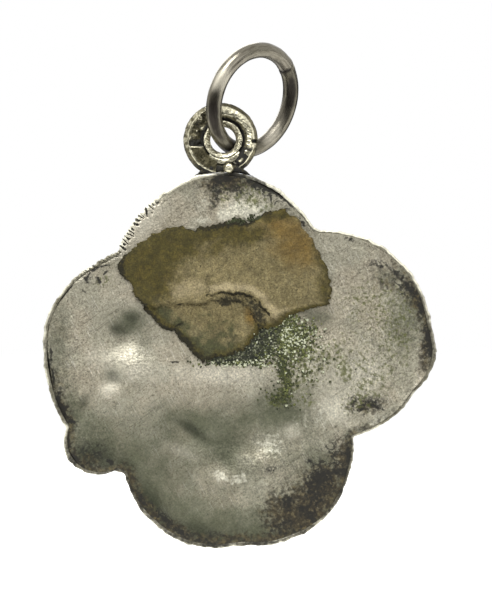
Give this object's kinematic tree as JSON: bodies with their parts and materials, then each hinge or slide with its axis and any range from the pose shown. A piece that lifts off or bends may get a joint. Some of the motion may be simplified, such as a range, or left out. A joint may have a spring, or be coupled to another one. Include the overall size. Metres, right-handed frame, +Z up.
{
  "type": "four leaf clover charm",
  "caption": "Hollow silver clover charm seen from its plain dented back, with a soldered eye, a jump ring and a torn scrap of old backing.",
  "frame": {"origin": "centre of the jump ring, which the charm hangs from", "axes": "+Z up, from the clover to the jump ring; the pressed front faces -Y and the plain back +Y; +X to the right as the front is looked at"},
  "size_m": [0.02, 0.0046, 0.0257],
  "materials": {
    "silver_wire": "drawn silver wire, worn smooth and tarnished grey brown",
    "silver_eye": "filed silver, bright on the high places and dark in the grooves",
    "solder": "silver solder, one bright bead and a dark fillet",
    "silver_front": "pressed silver, polished on the domes and tarnished in the creases",
    "silver_back": "dull tarnished silver sheet with dents, brown stains and green specks",
    "glue": "old glue, dark and crumbling",
    "backing_paper": "old brown paper, stained and creased, with a torn edge"
  },
  "bodies": {
    "jump_ring": {"jump_ring": "silver_wire"},
    "charm": {"eye_outer_ring": "silver_eye", "eye_inner_ring": "silver_eye", "solder_foot": "solder", "solder_bead": "solder", "front_shell": "silver_front", "back_plate": "silver_back", "old_glue": "glue", "backing_scrap": "backing_paper"}
  },
  "joints": [
    {"name": "charm_swing", "type": "hinge", "parent": "jump_ring", "child": "charm", "pos_m": [0.0015, 0.00064, -0.00206], "axis": [0, 1, 0], "range_deg": [-140, 95]}
  ]
}
